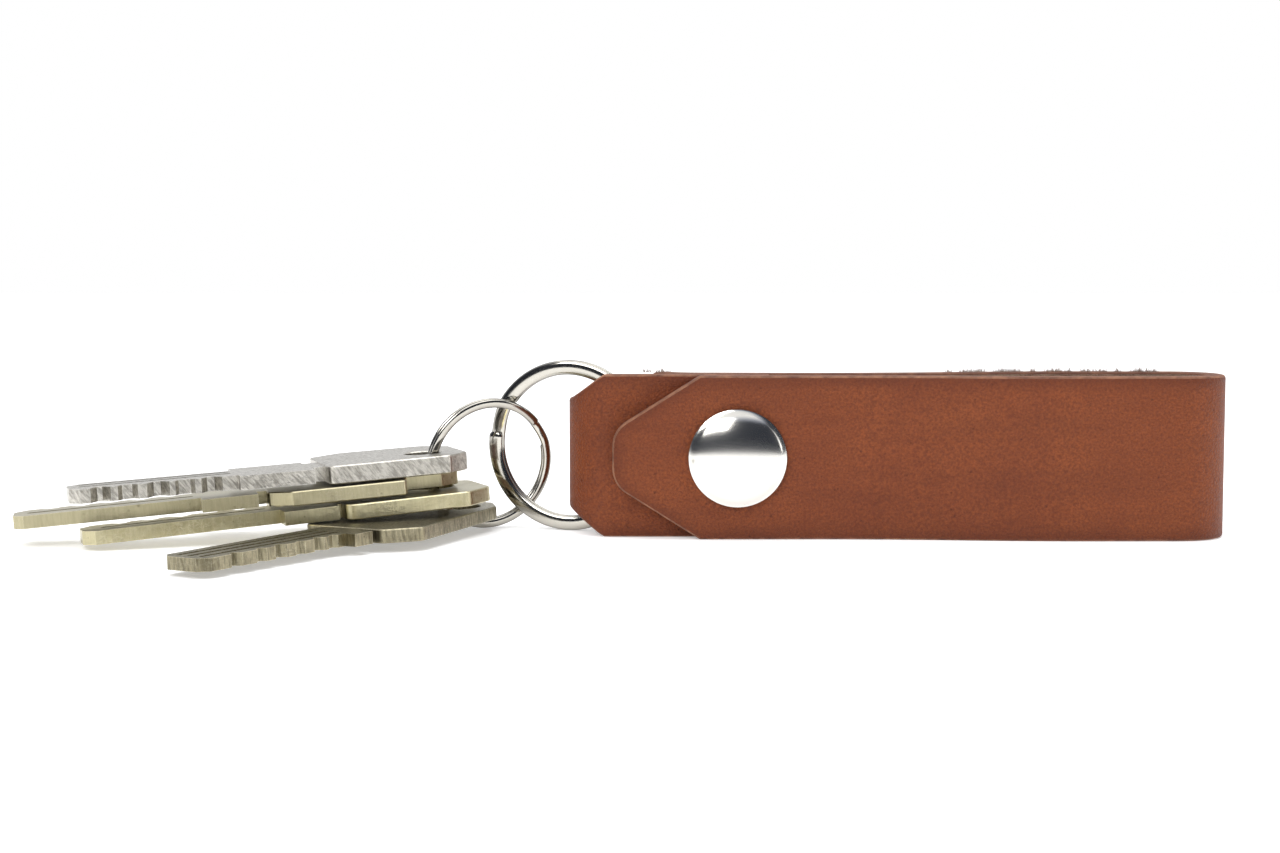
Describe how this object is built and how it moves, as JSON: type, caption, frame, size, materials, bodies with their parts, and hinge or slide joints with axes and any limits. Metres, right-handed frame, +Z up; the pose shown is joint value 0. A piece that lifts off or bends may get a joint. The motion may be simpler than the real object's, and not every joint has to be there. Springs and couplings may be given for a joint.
{
  "type": "key organiser",
  "caption": "Leather belt-loop key fob with a snapped flap, linked split rings and flat metal keys.",
  "frame": {"origin": "on the floor, under the axis of the snap and in the middle of the tab's bottom edge", "axes": "+X along the strap towards its U-turn, +Y from the cap to the back layer, +Z up"},
  "size_m": [0.1874, 0.0627, 0.0272],
  "materials": {
    "leather_back": "vegetable-tanned, smooth grain outside and fuzzy inside",
    "leather_front": "vegetable-tanned, smooth grain outside and fuzzy inside",
    "polished_nickel": "mirror polish",
    "plated_steel": "plain plated",
    "bright_key": "worn nickel silver",
    "yellow_key": "worn, yellowish",
    "stained_key": "worn, stained",
    "dark_key": "dull, darkened"
  },
  "bodies": {
    "back": {"strap_back": "leather_back", "strap_bend": "leather_front", "snap_stud": "plated_steel", "snap_post": "plated_steel"},
    "flap": {"strap_flap": "leather_front", "snap_cap": "polished_nickel", "snap_socket": "plated_steel", "snap_spring": "plated_steel"},
    "large_ring": {"large_split_ring": "polished_nickel"},
    "small_ring": {"small_split_ring": "polished_nickel"},
    "first_key": {"key_top": "bright_key"},
    "second_key": {"key_second": "yellow_key"},
    "third_key": {"key_third": "stained_key"},
    "fourth_key": {"key_bottom": "dark_key"}
  },
  "joints": [
    {"name": "flap_open", "type": "hinge", "parent": "back", "child": "flap", "pos_m": [0.0684, 0.0008, 0], "axis": [0, 0, 1], "range_deg": [0, 100], "deforming": ["strap_bend"]},
    {"name": "large_ring_swing", "type": "hinge", "parent": "back", "child": "large_ring", "pos_m": [-0.0146, 0.0033, 0], "axis": [0, 0, 1], "range_deg": [-8, 8]},
    {"name": "small_ring_swing", "type": "hinge", "parent": "large_ring", "child": "small_ring", "pos_m": [-0.0351, 0.0102, 0], "axis": [0, 0, 1], "range_deg": [-6, 6]},
    {"name": "first_key_swing", "type": "hinge", "parent": "small_ring", "child": "first_key", "pos_m": [-0.0494, 0.0037, 0.00985], "axis": [0, 0, 1], "range_deg": [-8, 8]},
    {"name": "second_key_swing", "type": "hinge", "parent": "small_ring", "child": "second_key", "pos_m": [-0.0498, 0.004, 0.0074], "axis": [0, 0, 1], "range_deg": [-6, 4]},
    {"name": "third_key_swing", "type": "hinge", "parent": "small_ring", "child": "third_key", "pos_m": [-0.0475, 0.0051, 0.00475], "axis": [0, 0, 1], "range_deg": [-4, 4]},
    {"name": "fourth_key_swing", "type": "hinge", "parent": "small_ring", "child": "fourth_key", "pos_m": [-0.0444, 0.007, 0.0016], "axis": [0, 0, 1], "range_deg": [-3, 6]}
  ]
}
